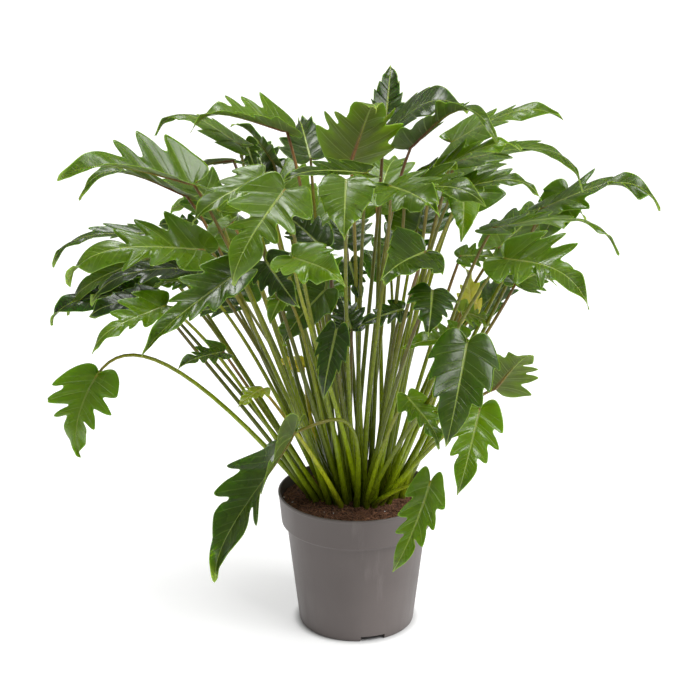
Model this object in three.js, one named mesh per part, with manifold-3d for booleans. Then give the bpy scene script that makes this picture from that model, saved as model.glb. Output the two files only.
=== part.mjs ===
// Potted philodendron: a plastic nursery pot, its soil, and lobed leaves on long petioles.
// Millimetres, +Z up. The origin is the centre of the pot's foot, on the ground. The front is -Y.
import * as THREE from "three";
import Module from "manifold-3d";
import { mergeVertices } from "three/addons/utils/BufferGeometryUtils.js";

const wasm = await Module();
wasm.setup();

// ---- driving dimensions ----
const POT_HEIGHT = 170;
const POT_RIM_RADIUS = 95;
const POT_WALL = 1.8;
const COLLAR_DEPTH = 39;
const COLLAR_LOWER_RADIUS = 91.2;
const WALL_TOP_RADIUS = 84.7;
const WALL_FOOT_RADIUS = 70;
const EDGE_ROUNDING = 2;
const RIM_LIP = 3;
const RIM_EDGE = 0.7;
const FOOT_CORNER = 6;
const FOOT_WIDTH = 5;
const FOOT_SLOPE = 4;
const BASE_LIFT = 7;
const POT_SIDES = 28;
const NOTCH_COUNT = 3;
const NOTCH_WIDTH = 30;
const NOTCH_HEIGHT = 6.5;
const NOTCH_DEPTH = 40;
const NOTCH_BEARING = -73.4;
const DRAIN_COUNT = 6;
const DRAIN_RADIUS = 5;
const DRAIN_CIRCLE = 44;
const DRAIN_SIDES = 8;

const SOIL_BELOW_RIM = 8;
const SOIL_MOUND = 5;
const SOIL_SHOULDER_RADIUS = 60;
const SOIL_SHOULDER_DROP = 2;
const SEAT_GAP = 0.3;

const CROWN_HALF_WIDTH = 58;
const CROWN_HALF_DEPTH = 32;
const CROWN_SQUASH = 0.7;
const CROWN_SHIFT = 4;
const FOCUS_DEPTH = 85;
const ROOT_SCATTER = 14;
const ROOT_SPACING = 9.6;
const SPACING_ROUNDS = 400;
const ROOT_DEPTH = 24;
const COLLAR_ABOVE_SOIL = 2;
const PETIOLE_BASE = 3.4;
const PETIOLE_TOP = 2;
const PETIOLE_SWAY = 0.07;
const PETIOLE_LOW = { share: 0.35, rise: 0.04, salt: 60 };
const PETIOLE_HIGH = { share: 0.75, rise: 0.06, salt: 62 };
const PETIOLE_SIDES = 4;
const PETIOLE_STEPS = 4;
const PETIOLE_END = 0.05;

const BLADE_THICKNESS = 0.9;
const USUAL_WIDTH = 0.85;
const USUAL_FOLD = 0.2;
const USUAL_DROOP = 0.3;
const USUAL_SAG = 0.1;
const USUAL_LEAN = 0.45;
const ARCH_AT_SEAT = 2;
const ARCH_TO_TIP = 3.4;
const OUTWARD_TILT = 0.35;

const STEP_HEIGHT = POT_HEIGHT - COLLAR_DEPTH;
const BASE_TOP = BASE_LIFT + POT_WALL;
const SOIL_TOP = POT_HEIGHT - SOIL_BELOW_RIM;

// ---- materials ----
const potPlastic = () => new THREE.MeshStandardMaterial({ color: 0x6b6262, roughness: 0.5, metalness: 0 });
const soilMatter = () => new THREE.MeshStandardMaterial({ color: 0x4a3226, roughness: 1, metalness: 0 });
const leafGreen = () => new THREE.MeshStandardMaterial({ color: 0x3f6b2e, roughness: 0.4, metalness: 0 });

// ---- solids ----
// A closed three.js geometry as a solid that can be joined and cut.
function solidOf(geometry) {
  geometry.deleteAttribute("normal");
  geometry.deleteAttribute("uv");
  const merged = mergeVertices(geometry, 1e-4);
  return new wasm.Manifold(
    new wasm.Mesh({
      numProp: 3,
      vertProperties: new Float32Array(merged.attributes.position.array),
      triVerts: new Uint32Array(merged.index.array),
    }),
  );
}

// The main body of a union, without the loose scraps and sealed hollows that joining leaves.
function mainBody(solid) {
  return solid.decompose().reduce((most, body) => (body.volume() > most.volume() ? body : most));
}

// A solid's mesh as a three.js geometry.
function geometryOf(solid) {
  const mesh = solid.getMesh();
  const geometry = new THREE.BufferGeometry();
  geometry.setAttribute("position", new THREE.BufferAttribute(new Float32Array(mesh.vertProperties), 3));
  geometry.setIndex(new THREE.BufferAttribute(new Uint32Array(mesh.triVerts), 1));
  geometry.computeVertexNormals();
  return geometry;
}

// A profile of radius and height, turned round the vertical axis.
function turned(profile, segments) {
  const points = profile.map(([radius, height]) => new THREE.Vector2(radius, height));
  return new THREE.LatheGeometry(points, segments).rotateX(Math.PI / 2);
}

// ---- pot ----
// The outside radius of the tapered wall, from the foot up to the step below the collar.
function wallRadius(height) {
  return THREE.MathUtils.mapLinear(height, 0, STEP_HEIGHT, WALL_FOOT_RADIUS, WALL_TOP_RADIUS);
}

// The outside radius of the wide collar, from just over its step up to the rim.
function collarRadius(height) {
  const from = STEP_HEIGHT + 2 * EDGE_ROUNDING;
  const to = POT_HEIGHT - RIM_LIP;
  return THREE.MathUtils.mapLinear(height, from, to, COLLAR_LOWER_RADIUS, POT_RIM_RADIUS - RIM_EDGE);
}

// The section runs up the outside, over the rim, down the inside and back along the raised base plate.
function potSection() {
  const inner = (radius) => radius - POT_WALL;
  return [
    [0, BASE_LIFT],
    [WALL_FOOT_RADIUS - FOOT_WIDTH - FOOT_SLOPE, BASE_LIFT],
    [WALL_FOOT_RADIUS - FOOT_WIDTH, 0],
    [WALL_FOOT_RADIUS - EDGE_ROUNDING, 0],
    [wallRadius(FOOT_CORNER), FOOT_CORNER],
    [WALL_TOP_RADIUS, STEP_HEIGHT - EDGE_ROUNDING],
    [COLLAR_LOWER_RADIUS - EDGE_ROUNDING / 2, STEP_HEIGHT],
    [COLLAR_LOWER_RADIUS, STEP_HEIGHT + EDGE_ROUNDING],
    [POT_RIM_RADIUS - RIM_EDGE, POT_HEIGHT - RIM_LIP],
    [POT_RIM_RADIUS, POT_HEIGHT - RIM_LIP / 2],
    [POT_RIM_RADIUS - RIM_EDGE, POT_HEIGHT],
    [POT_RIM_RADIUS - EDGE_ROUNDING, POT_HEIGHT],
    [inner(POT_RIM_RADIUS - RIM_EDGE), POT_HEIGHT - RIM_LIP],
    [inner(COLLAR_LOWER_RADIUS), STEP_HEIGHT + 2 * EDGE_ROUNDING],
    [inner(WALL_TOP_RADIUS), STEP_HEIGHT - EDGE_ROUNDING],
    [inner(wallRadius(BASE_TOP)), BASE_TOP],
    [0, BASE_TOP],
  ];
}

// The pot, with notches through its foot ring and drain holes through its base.
function potGeometry() {
  let pot = solidOf(turned(potSection(), POT_SIDES));
  for (let i = 0; i < NOTCH_COUNT; i++) {
    const notch = new THREE.BoxGeometry(NOTCH_DEPTH, NOTCH_WIDTH, 2 * NOTCH_HEIGHT);
    notch.translate(WALL_FOOT_RADIUS, 0, 0);
    notch.rotateZ(THREE.MathUtils.degToRad(NOTCH_BEARING + (360 * i) / NOTCH_COUNT));
    pot = pot.subtract(solidOf(notch));
  }
  for (let i = 0; i < DRAIN_COUNT; i++) {
    const hole = new THREE.CylinderGeometry(DRAIN_RADIUS, DRAIN_RADIUS, 2 * BASE_TOP, DRAIN_SIDES);
    hole.rotateX(Math.PI / 2);
    hole.translate(DRAIN_CIRCLE, 0, BASE_LIFT);
    hole.rotateZ((2 * Math.PI * i) / DRAIN_COUNT);
    pot = pot.subtract(solidOf(hole));
  }
  return geometryOf(pot);
}

// ---- leaves ----
// Each leaf: seat is where the petiole joins the blade, tip is the blade's far end. Both are places on the
// plant, read by eye and rounded. A twin grows from the same root as the leaf before it.
// width: a share of the usual width. fold: how far both halves rise from the midrib, in radians.
// lean: how far the upper side turns to the front. sag: how far the midrib arches, as a share of its length.
// roll: how far the blade turns about its midrib, in radians. cut: how deep the notches are, from none to 1.
// bow: how far the midrib curves sideways. bend: two points that an arching petiole is drawn towards.
// turn: how far the blade's cross-section turns from the seat to the tip, in radians.
const LEAVES = [
  // left, from the top down
  { seat: [-135, 40, 586], tip: [-237, 65, 591], width: 0.65, fold: 0.1, sag: 0.25, lean: -0.05, cut: 0.5 },
  { seat: [-131, 80, 581], tip: [-118, 70, 546], width: 0.9, twin: true },
  {
    seat: [-178, -112, 579],
    tip: [-320, -157, 595],
    width: 0.8,
    fold: 0.55,
    droop: 0,
    sag: 0.12,
    lean: 0.2,
    cut: 1.2,
  },
  { seat: [-194, -25, 543], tip: [-313, -50, 546], width: 0.55, fold: 0.3, sag: 0.22, lean: -0.1 },
  { seat: [-140, -68, 524], tip: [-166, -98, 499], width: 0.9, fold: 0.6, roll: 0.3, cut: 0 },
  { seat: [-194, 60, 483], tip: [-237, 75, 479], roll: -0.3 },
  { seat: [-141, 0, 578], tip: [-193, 20, 554], width: 0.9, lean: -0.7, cut: 0.3, twin: true },
  { seat: [-236, 0, 492], tip: [-351, -20, 457], width: 0.45, sag: 0.16, lean: 0.15 },
  { seat: [-169, -120, 507], tip: [-317, -150, 478], width: 0.65, sag: 0.2, lean: 0.4 },
  { seat: [-173, -70, 471], tip: [-297, -110, 441], width: 0.6, sag: 0.16, lean: 0.25 },
  { seat: [-228, -80, 439], tip: [-301, -100, 422], width: 0.85, lean: 0.7, roll: 0.25, cut: 0.3 },
  { seat: [-237, -20, 427], tip: [-352, -50, 396], width: 0.7, sag: 0.14, lean: 0.5, cut: 0.7 },
  { seat: [-240, -6, 463], tip: [-334, -42, 405], width: 0.6, sag: 0.16, lean: 0.6, twin: true },
  { seat: [-211, -130, 446], tip: [-288, -180, 407], width: 0.7, sag: 0.14, lean: 0.6 },
  { seat: [-126, -200, 506], tip: [-225, -265, 434], width: 0.52, fold: 0.45, lean: 0.8, cut: 0.9 },
  { seat: [-140, -20, 410], tip: [-214, -35, 391], width: 0.6 },
  { seat: [-182, -40, 446], tip: [-234, -50, 441], twin: true },
  { seat: [-149, -120, 388], tip: [-199, -150, 377], width: 0.9, lean: 0.8, roll: 0.3, cut: 1.2 },
  { seat: [-64, 32, 315], tip: [-98, 47, 316], width: 0.9, cut: 0.3, twin: true },
  { seat: [-106, -120, 344], tip: [-132, -150, 333] },
  {
    seat: [-300, -60, 338],
    tip: [-319, -85, 246],
    width: 1.15,
    fold: 0.4,
    lean: 2.5,
    roll: 0.3,
    bow: -0.08,
    cut: 1.1,
    bend: [
      [-200, -50, 365],
      [-265, -60, 392],
    ],
  },
  {
    seat: [-70, -150, 303],
    tip: [-160, -195, 140],
    width: 0.78,
    lean: 0.8,
    roll: 1.5,
    turn: -1.7,
    bow: -0.22,
    cut: 1.1,
    bend: [
      [10, -110, 330],
      [-20, -150, 325],
    ],
  },
  // middle, from the top down
  { seat: [35, 100, 609], tip: [41, 150, 658], width: 0.65, cut: 0.3 },
  { seat: [-80, 10, 609], tip: [-189, -15, 612], width: 1.15, fold: 0.4, droop: 0, sag: 0.16, lean: 0.2 },
  {
    seat: [-7, -20, 580],
    tip: [20, -105, 662],
    width: 1,
    fold: 0.4,
    droop: 0.1,
    lean: -0.5,
    roll: -0.35,
    cut: 0.7,
  },
  { seat: [-8, 0, 457], tip: [6, -22, 414], twin: true },
  { seat: [30, 50, 592], tip: [128, 15, 631], width: 1.2, sag: 0.22, lean: 0.55, cut: 0.4 },
  { seat: [61, -6, 594], tip: [156, -80, 614], width: 0.85, fold: 0.35, droop: 0.1, sag: 0.32, lean: 0.25 },
  { seat: [34, 80, 433], tip: [50, 130, 448], width: 1, twin: true },
  { seat: [10, -80, 583], tip: [-85, -135, 585], width: 0.5, lean: 0.05 },
  { seat: [-30, -10, 453], tip: [-62, -30, 420], cut: 0.6, twin: true },
  { seat: [-104, -110, 587], tip: [-178, -150, 543], width: 0.7 },
  { seat: [-36, -76, 447], tip: [-84, -85, 383], width: 0.9, cut: 0.5, twin: true },
  { seat: [-76, -212, 599], tip: [-129, -272, 515], width: 0.9, sag: 0.14, lean: 0.6, cut: 1.1 },
  { seat: [-12, -190, 604], tip: [-14, -247, 555], width: 1, lean: 0.6, cut: 0.1 },
  { seat: [-23, -140, 421], tip: [-37, -160, 346], width: 0.6, cut: 0.5, twin: true },
  { seat: [35, -142, 585], tip: [85, -222, 573], width: 1.1, lean: 0.6, cut: 0.9 },
  { seat: [53, -64, 563], tip: [137, -165, 569], width: 0.75, lean: 0.7 },
  { seat: [52, -50, 415], tip: [1, -62, 397], width: 0.8, twin: true },
  { seat: [-42, -60, 495], tip: [-85, 0, 512] },
  { seat: [-6, -56, 392], tip: [-20, -6, 417], width: 1, twin: true },
  { seat: [73, -165, 518], tip: [23, -235, 507], width: 1, cut: 0.15 },
  { seat: [-68, -200, 522], tip: [-13, -270, 514], width: 0.95, cut: 0.7 },
  { seat: [-98, -150, 502], tip: [-62, -200, 466], width: 0.9, roll: 0.25, cut: 0.8 },
  { seat: [-80, -120, 460], tip: [-96, -140, 426], cut: 0.6, twin: true },
  { seat: [80, -188, 482], tip: [74, -236, 446], width: 1.1, lean: 0.8, cut: 0.9 },
  { seat: [82, -160, 248], tip: [40, -172, 142], width: 0.5, lean: 0.8, bow: 0.03 },
  // behind the top, left and middle
  { seat: [-101, 140, 541], tip: [-149, 114, 594] },
  { seat: [-110, 140, 524], tip: [-132, 210, 554], twin: true },
  { seat: [-55, 110, 552], tip: [-70, 200, 577], cut: 0.5 },
  { seat: [-12, 110, 444], tip: [-5, 180, 467], width: 1.1, twin: true },
  // right, from the top down
  { seat: [112, 80, 580], tip: [239, 40, 615], width: 0.65, fold: 0.1, sag: 0.16, lean: 0.6, cut: 0.7 },
  { seat: [82, -40, 573], tip: [180, -90, 613], width: 0.6, lean: 0.3 },
  { seat: [114, -8, 579], tip: [257, -25, 546], width: 0.5, fold: 0.1, sag: 0.24, lean: 0, cut: 0.5 },
  { seat: [108, -76, 563], tip: [202, -106, 559], width: 0.6, sag: 0.2, lean: 0.3 },
  { seat: [116, -110, 569], tip: [112, -150, 524], width: 0.75, cut: 0.05 },
  { seat: [214, 20, 515], tip: [350, -5, 518], width: 0.62, sag: 0.24, lean: 0.35 },
  { seat: [123, 0, 396], tip: [158, 20, 370], width: 1.1, twin: true },
  { seat: [248, 50, 530], tip: [218, 45, 469], width: 0.95, cut: 0.2 },
  { seat: [153, -60, 515], tip: [291, -100, 496], width: 0.5, fold: 0.1, sag: 0.19, lean: 0 },
  { seat: [162, -120, 497], tip: [250, -180, 458], width: 1, sag: 0.25, lean: 0.6, cut: 1.1 },
  { seat: [125, -68, 386], tip: [49, -104, 385], width: 0.8, fold: 0.3, cut: 1.1, twin: true },
  { seat: [182, -35, 441], tip: [222, 30, 430] },
  { seat: [122, 20, 458], tip: [169, 30, 448], width: 1 },
  { seat: [136, 45, 382], tip: [127, 60, 436], width: 1 },
  { seat: [116, -224, 435], tip: [93, -272, 335], width: 0.85, lean: 0.6, cut: 0.5 },
  { seat: [56, -150, 345], tip: [91, -185, 298], width: 0.95, roll: -0.4, twin: true },
  { seat: [151, -180, 367], tip: [186, -225, 421], width: 1.1, lean: -1.2 },
  { seat: [133, -202, 353], tip: [108, -240, 266], width: 0.75, lean: 0.65 },
];

// The leaves behind follow a rule: tiers of them fan out round the back half of the crown, in twins.
const BACK_TIERS = [
  { count: 4, from: 45, to: 135, reach: 195, height: 360, blade: 125, rise: 25, stagger: 30 },
  { count: 8, from: 36, to: 147, reach: 205, height: 445, blade: 125, rise: 25, stagger: 45 },
];
const BACK_SHAPE = { width: 1.05, cut: 0.8, sag: 0.22, lean: 0 };
const CROWN_FLATNESS = 0.85;
const BEARING_SCATTER = 5;
const HEADING_SCATTER = 0.25;
const PLACE_SCATTER = 12;

// An even spread of values between -1 and 1 that looks irregular and is the same every time.
function scatter(index, salt) {
  const value = Math.sin(index * 12.9898 + salt * 78.233) * 43758.5453;
  return 2 * (value - Math.floor(value)) - 1;
}

// The leaves of the back tiers, as entries like those read by eye.
function backLeaves() {
  const leaves = [];
  BACK_TIERS.forEach((tier, t) => {
    for (let i = 0; i < tier.count; i++) {
      const draw = (salt) => scatter(i + 10 * t, salt);
      const even = tier.from + ((tier.to - tier.from) * i) / (tier.count - 1);
      const bearing = THREE.MathUtils.degToRad(even + BEARING_SCATTER * draw(1));
      const heading = bearing + HEADING_SCATTER * draw(2);
      const reach = tier.reach + PLACE_SCATTER * draw(3);
      const seat = [
        reach * Math.cos(bearing),
        CROWN_FLATNESS * reach * Math.sin(bearing),
        tier.height + tier.stagger * (i % 2) + PLACE_SCATTER * draw(4),
      ];
      const tip = [
        seat[0] + tier.blade * Math.cos(heading),
        seat[1] + CROWN_FLATNESS * tier.blade * Math.sin(heading),
        seat[2] + tier.rise,
      ];
      leaves.push({ seat, tip, ...BACK_SHAPE, twin: i % 2 === 1 });
    }
  });
  return leaves;
}

const UP = new THREE.Vector3(0, 0, 1);
const FRONT = new THREE.Vector3(0, -1, 0);
const vector = (a) => new THREE.Vector3(a[0], a[1], a[2]);

// The fixed frame of a blade: along the chord, across it, and its upper side.
function bladeFrame(leaf) {
  const seat = vector(leaf.seat);
  const along = vector(leaf.tip).sub(seat);
  const length = along.length();
  along.normalize();
  const outward = new THREE.Vector3(seat.x, seat.y, 0).normalize();
  const face = UP.clone().addScaledVector(outward, OUTWARD_TILT);
  face.addScaledVector(FRONT, leaf.lean ?? USUAL_LEAN);
  face.addScaledVector(along, -face.dot(along)).normalize();
  face.applyAxisAngle(along, leaf.roll ?? 0);
  const across = new THREE.Vector3().crossVectors(face, along);
  return { seat, along, length, face, across };
}

// The upper side's direction at a place on the midrib.
function bladeUpward(leaf, frame, along) {
  const turn = (leaf.turn ?? 0) * along;
  return frame.face.clone().multiplyScalar(Math.cos(turn)).addScaledVector(frame.across, -Math.sin(turn));
}

// A point of the blade's middle surface: how far along the midrib and across it, as shares of the length.
function bladePoint(leaf, frame, along, across) {
  const fold = leaf.fold ?? USUAL_FOLD;
  const droop = leaf.droop ?? USUAL_DROOP;
  const turn = (leaf.turn ?? 0) * along;
  const level = across * Math.cos(fold);
  const raised = Math.abs(across) * Math.sin(fold) - droop * across * across;
  const rise = (leaf.sag ?? USUAL_SAG) * along * (1 - along) * (ARCH_AT_SEAT + ARCH_TO_TIP * along);
  const lift = rise + level * Math.sin(turn) + raised * Math.cos(turn);
  const curve = (leaf.bow ?? 0) * 4 * along * (1 - along);
  const aside = curve + level * Math.cos(turn) - raised * Math.sin(turn);
  return frame.seat
    .clone()
    .addScaledVector(frame.along, along * frame.length)
    .addScaledVector(frame.across, aside * frame.length)
    .addScaledVector(frame.face, lift * frame.length);
}

// Half of the lobed outline, from the seat round the back lobe and out to the tip:
// how far along, how far across, and how far across where the leaf has no notches.
const HALF_OUTLINE = [
  [-0.1, 0.14, 0.14],
  [-0.03, 0.3, 0.3],
  [0.2, 0.42, 0.42],
  [0.22, 0.28, 0.41],
  [0.41, 0.4, 0.36],
  [0.4, 0.21, 0.36],
  [0.58, 0.3, 0.26],
  [0.56, 0.14, 0.26],
  [0.75, 0.14, 0.16],
];
const MIDRIB_STATIONS = [0.16, 0.36, 0.62];
const LOBES = 3;

// A lobed blade with the same faces above and below, closed by a narrow rim.
function bladeSolid(leaf) {
  const frame = bladeFrame(leaf);
  const width = leaf.width ?? USUAL_WIDTH;
  const cut = leaf.cut ?? 1;
  const flat = [[0, 0], ...MIDRIB_STATIONS.map((along) => [along, 0]), [1, 0]];
  const tip = flat.length - 1;
  const sides = [1, -1].map((side) => {
    const first = flat.length;
    for (const [along, across, uncut] of HALF_OUTLINE)
      flat.push([along, side * width * THREE.MathUtils.lerp(uncut, across, Math.min(1, cut))]);
    return { side, first };
  });
  const faces = [];
  const rims = [];
  for (const { side, first } of sides) {
    const half = [];
    half.push([0, first, first + 1]);
    half.push([0, first + 1, first + 3]);
    half.push([first + 1, first + 2, first + 3]);
    half.push([0, first + 3, 1]);
    for (let lobe = 1; lobe < LOBES; lobe++) {
      const sinus = first + 1 + 2 * lobe;
      half.push([lobe, sinus, sinus + 2]);
      half.push([sinus, sinus + 1, sinus + 2]);
      half.push([lobe, sinus + 2, lobe + 1]);
    }
    const shoulder = first + 2 + 2 * LOBES;
    half.push([LOBES, shoulder - 1, shoulder]);
    half.push([LOBES, shoulder, tip]);
    const rim = [0, ...HALF_OUTLINE.map((_, i) => first + i), tip];
    for (const [a, b, c] of half) faces.push(side > 0 ? [a, c, b] : [a, b, c]);
    if (side < 0) rim.reverse();
    for (let i = 0; i + 1 < rim.length; i++) rims.push([rim[i], rim[i + 1]]);
  }
  const count = flat.length;
  const positions = [];
  for (const side of [0.5, -0.5])
    for (const [along, across] of flat) {
      const point = bladePoint(leaf, frame, along, across);
      point.addScaledVector(bladeUpward(leaf, frame, along), side * BLADE_THICKNESS);
      positions.push(point.x, point.y, point.z);
    }
  const triangles = [];
  for (const [a, b, c] of faces) triangles.push(a, b, c, a + count, c + count, b + count);
  for (const [a, b] of rims) triangles.push(a, b, b + count, a, b + count, a + count);
  return new wasm.Manifold(
    new wasm.Mesh({
      numProp: 3,
      vertProperties: new Float32Array(positions),
      triVerts: new Uint32Array(triangles),
    }),
  );
}

// ---- petioles ----
// Roots lie where the line from a point under the crown to the leaf meets the soil, then move apart.
function rootPlaces(leaves) {
  const roots = leaves.filter((leaf) => !leaf.twin).map((leaf) => {
    const aim = leaf.bend ? vector(leaf.bend[1]) : vector(leaf.seat);
    const share = FOCUS_DEPTH / (aim.z - SOIL_TOP + FOCUS_DEPTH);
    const root = new THREE.Vector2(aim.x * share, CROWN_SQUASH * aim.y * share);
    root.x += ROOT_SCATTER * scatter(leaf.number, 84);
    root.y += ROOT_SCATTER * CROWN_SQUASH * scatter(leaf.number, 85);
    const reach = Math.hypot(root.x / CROWN_HALF_WIDTH, root.y / CROWN_HALF_DEPTH);
    if (reach > 1) root.divideScalar(reach);
    root.y += CROWN_SHIFT;
    return root;
  });
  for (let round = 0; round < SPACING_ROUNDS; round++)
    for (let i = 0; i < roots.length; i++)
      for (let j = i + 1; j < roots.length; j++) {
        const apart = roots[j].clone().sub(roots[i]);
        const short = ROOT_SPACING - apart.length();
        if (short <= 0) continue;
        apart.normalize().multiplyScalar(short / 2);
        roots[i].sub(apart);
        roots[j].add(apart);
      }
  return roots;
}

// A petiole rises steeply, sways a little and arches out to its blade, or follows the points of its bend.
function petioleCurve(leaf, root) {
  const start = new THREE.Vector3(root.x, root.y, SOIL_TOP + COLLAR_ABOVE_SOIL);
  const seat = vector(leaf.seat);
  const span = seat.clone().sub(start);
  const length = span.length();
  const towards = ({ share, rise, salt }) => {
    const sway = new THREE.Vector3(scatter(leaf.number, salt), scatter(leaf.number, salt + 1), 0);
    const point = start.clone().addScaledVector(span, share).addScaledVector(UP, rise * length);
    return point.addScaledVector(sway, PETIOLE_SWAY * share * length);
  };
  const [low, high] = leaf.bend ? leaf.bend.map(vector) : [towards(PETIOLE_LOW), towards(PETIOLE_HIGH)];
  return new THREE.CubicBezierCurve3(start, low, high, seat);
}

// A tapered stalk that starts below the soil and ends in a point inside the blade.
function petioleSolid(leaf, root) {
  const curve = petioleCurve(leaf, root);
  const frame = bladeFrame(leaf);
  const centres = [new THREE.Vector3(root.x, root.y, SOIL_TOP - ROOT_DEPTH)];
  const tangents = [UP.clone()];
  for (let i = 0; i <= PETIOLE_STEPS; i++) {
    centres.push(curve.getPoint(i / PETIOLE_STEPS));
    tangents.push(i === 0 ? UP.clone() : curve.getTangent(i / PETIOLE_STEPS));
  }
  const last = centres.length - 1;
  const point = bladePoint(leaf, frame, PETIOLE_END, 0);
  let side = new THREE.Vector3(1, 0, 0);
  const positions = [];
  centres.forEach((centre, i) => {
    side.addScaledVector(tangents[i], -side.dot(tangents[i])).normalize();
    const other = new THREE.Vector3().crossVectors(tangents[i], side);
    const share = Math.max(0, i - 1) / (last - 1);
    const radius = THREE.MathUtils.lerp(PETIOLE_BASE, PETIOLE_TOP, share);
    for (let k = 0; k < PETIOLE_SIDES; k++) {
      const angle = (2 * Math.PI * (k + 0.5)) / PETIOLE_SIDES;
      const corner = centre.clone();
      corner.addScaledVector(side, radius * Math.cos(angle));
      corner.addScaledVector(other, radius * Math.sin(angle));
      positions.push(corner.x, corner.y, corner.z);
    }
  });
  positions.push(point.x, point.y, point.z);
  const triangles = [];
  for (let i = 0; i < last; i++)
    for (let k = 0; k < PETIOLE_SIDES; k++) {
      const a = i * PETIOLE_SIDES + k;
      const b = i * PETIOLE_SIDES + ((k + 1) % PETIOLE_SIDES);
      triangles.push(a, b, b + PETIOLE_SIDES, a, b + PETIOLE_SIDES, a + PETIOLE_SIDES);
    }
  const end = last * PETIOLE_SIDES;
  for (let k = 1; k + 1 < PETIOLE_SIDES; k++) triangles.push(0, k + 1, k);
  for (let k = 0; k < PETIOLE_SIDES; k++)
    triangles.push(end + k, end + ((k + 1) % PETIOLE_SIDES), end + PETIOLE_SIDES);
  return new wasm.Manifold(
    new wasm.Mesh({
      numProp: 3,
      vertProperties: new Float32Array(positions),
      triVerts: new Uint32Array(triangles),
    }),
  );
}

// ---- soil ----
// The soil fills the pot to a low mound, with a plain hole round each petiole's buried foot.
function soilGeometry(roots) {
  const fit = POT_WALL + SEAT_GAP;
  const edge = SOIL_TOP - SOIL_MOUND;
  const section = [
    [0, BASE_TOP + SEAT_GAP],
    [wallRadius(BASE_TOP) - fit, BASE_TOP + SEAT_GAP],
    [WALL_TOP_RADIUS - fit, STEP_HEIGHT - EDGE_ROUNDING],
    [COLLAR_LOWER_RADIUS - fit, STEP_HEIGHT + 2 * EDGE_ROUNDING],
    [collarRadius(edge) - fit, edge],
    [SOIL_SHOULDER_RADIUS, SOIL_TOP - SOIL_SHOULDER_DROP],
    [0, SOIL_TOP],
  ];
  let soil = solidOf(turned(section, POT_SIDES));
  const reach = PETIOLE_BASE + SEAT_GAP;
  for (const root of roots) {
    const hole = new THREE.CylinderGeometry(reach, reach, 2 * ROOT_DEPTH, PETIOLE_SIDES);
    hole.rotateY(Math.PI / PETIOLE_SIDES);
    hole.rotateX(Math.PI / 2);
    hole.translate(root.x, root.y, SOIL_TOP - SEAT_GAP);
    soil = soil.subtract(solidOf(hole));
  }
  return geometryOf(soil);
}

// ---- the plant in its pot ----
const group = new THREE.Group();

function addPiece(name, geometry, material) {
  const mesh = new THREE.Mesh(geometry, material);
  mesh.name = name;
  group.add(mesh);
}

const leaves = [...LEAVES, ...backLeaves()].map((leaf, number) => ({ number, ...leaf }));
const roots = rootPlaces(leaves);
addPiece("pot", potGeometry(), potPlastic());
addPiece("soil", soilGeometry(roots), soilMatter());

const fronds = [];
for (const leaf of leaves) {
  const root = roots[leaf.twin ? fronds.length - 1 : fronds.length];
  const frond = petioleSolid(leaf, root).add(bladeSolid(leaf));
  if (leaf.twin) fronds.push(fronds.pop().add(frond));
  else fronds.push(frond);
}
fronds.forEach((frond, i) => {
  addPiece("leaf_" + String(i + 1).padStart(2, "0"), geometryOf(mainBody(frond)), leafGreen());
});

export default group;
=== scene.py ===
"""Potted philodendron: the finished surfaces over the part's solids. Metres, +Z up, the front is -Y."""
import math

import bmesh
import bpy
import numpy as np
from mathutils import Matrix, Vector


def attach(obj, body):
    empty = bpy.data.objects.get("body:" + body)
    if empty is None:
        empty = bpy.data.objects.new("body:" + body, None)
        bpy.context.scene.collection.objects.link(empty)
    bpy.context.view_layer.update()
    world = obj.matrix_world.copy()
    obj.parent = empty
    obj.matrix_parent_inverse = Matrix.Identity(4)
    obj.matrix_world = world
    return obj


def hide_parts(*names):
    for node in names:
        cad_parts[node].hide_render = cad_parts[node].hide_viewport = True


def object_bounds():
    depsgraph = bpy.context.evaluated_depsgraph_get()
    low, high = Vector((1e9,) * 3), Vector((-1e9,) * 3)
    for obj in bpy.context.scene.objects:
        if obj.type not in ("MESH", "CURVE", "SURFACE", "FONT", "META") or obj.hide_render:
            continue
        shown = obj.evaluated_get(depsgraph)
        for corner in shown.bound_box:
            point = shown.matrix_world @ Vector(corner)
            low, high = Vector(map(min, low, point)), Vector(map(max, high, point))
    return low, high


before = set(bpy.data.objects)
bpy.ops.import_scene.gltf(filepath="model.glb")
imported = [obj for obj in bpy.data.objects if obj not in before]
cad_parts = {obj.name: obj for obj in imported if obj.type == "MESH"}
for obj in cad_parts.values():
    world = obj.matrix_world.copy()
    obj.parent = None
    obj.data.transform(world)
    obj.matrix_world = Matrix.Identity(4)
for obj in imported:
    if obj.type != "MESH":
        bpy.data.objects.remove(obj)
cad_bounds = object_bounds()

# the blades stay this far inside the solids' box
EDGE_ROOM = 0.001
LEAST = np.array(cad_bounds[0]) + EDGE_ROOM
MOST = np.array(cad_bounds[1]) - EDGE_ROOM

# ---- driving dimensions: the main ones are those of the part's source ----
POT_HEIGHT = 0.170
POT_RIM_RADIUS = 0.095
POT_WALL = 0.0018
COLLAR_DEPTH = 0.039
COLLAR_LOWER_RADIUS = 0.0912
WALL_TOP_RADIUS = 0.0847
WALL_FOOT_RADIUS = 0.070
FOOT_WIDTH = 0.005
FOOT_SLOPE = 0.004
BASE_LIFT = 0.007
NOTCH_COUNT = 3
NOTCH_WIDTH = 0.030
NOTCH_HEIGHT = 0.0065
NOTCH_DEPTH = 0.040
NOTCH_BEARING = -73.4
DRAIN_COUNT = 6
DRAIN_RADIUS = 0.005
DRAIN_CIRCLE = 0.044
SOIL_TOP = 0.162
SOIL_MOUND = 0.005
SOIL_RADIUS = 0.0908
SOIL_FIT = 0.0006

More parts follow.
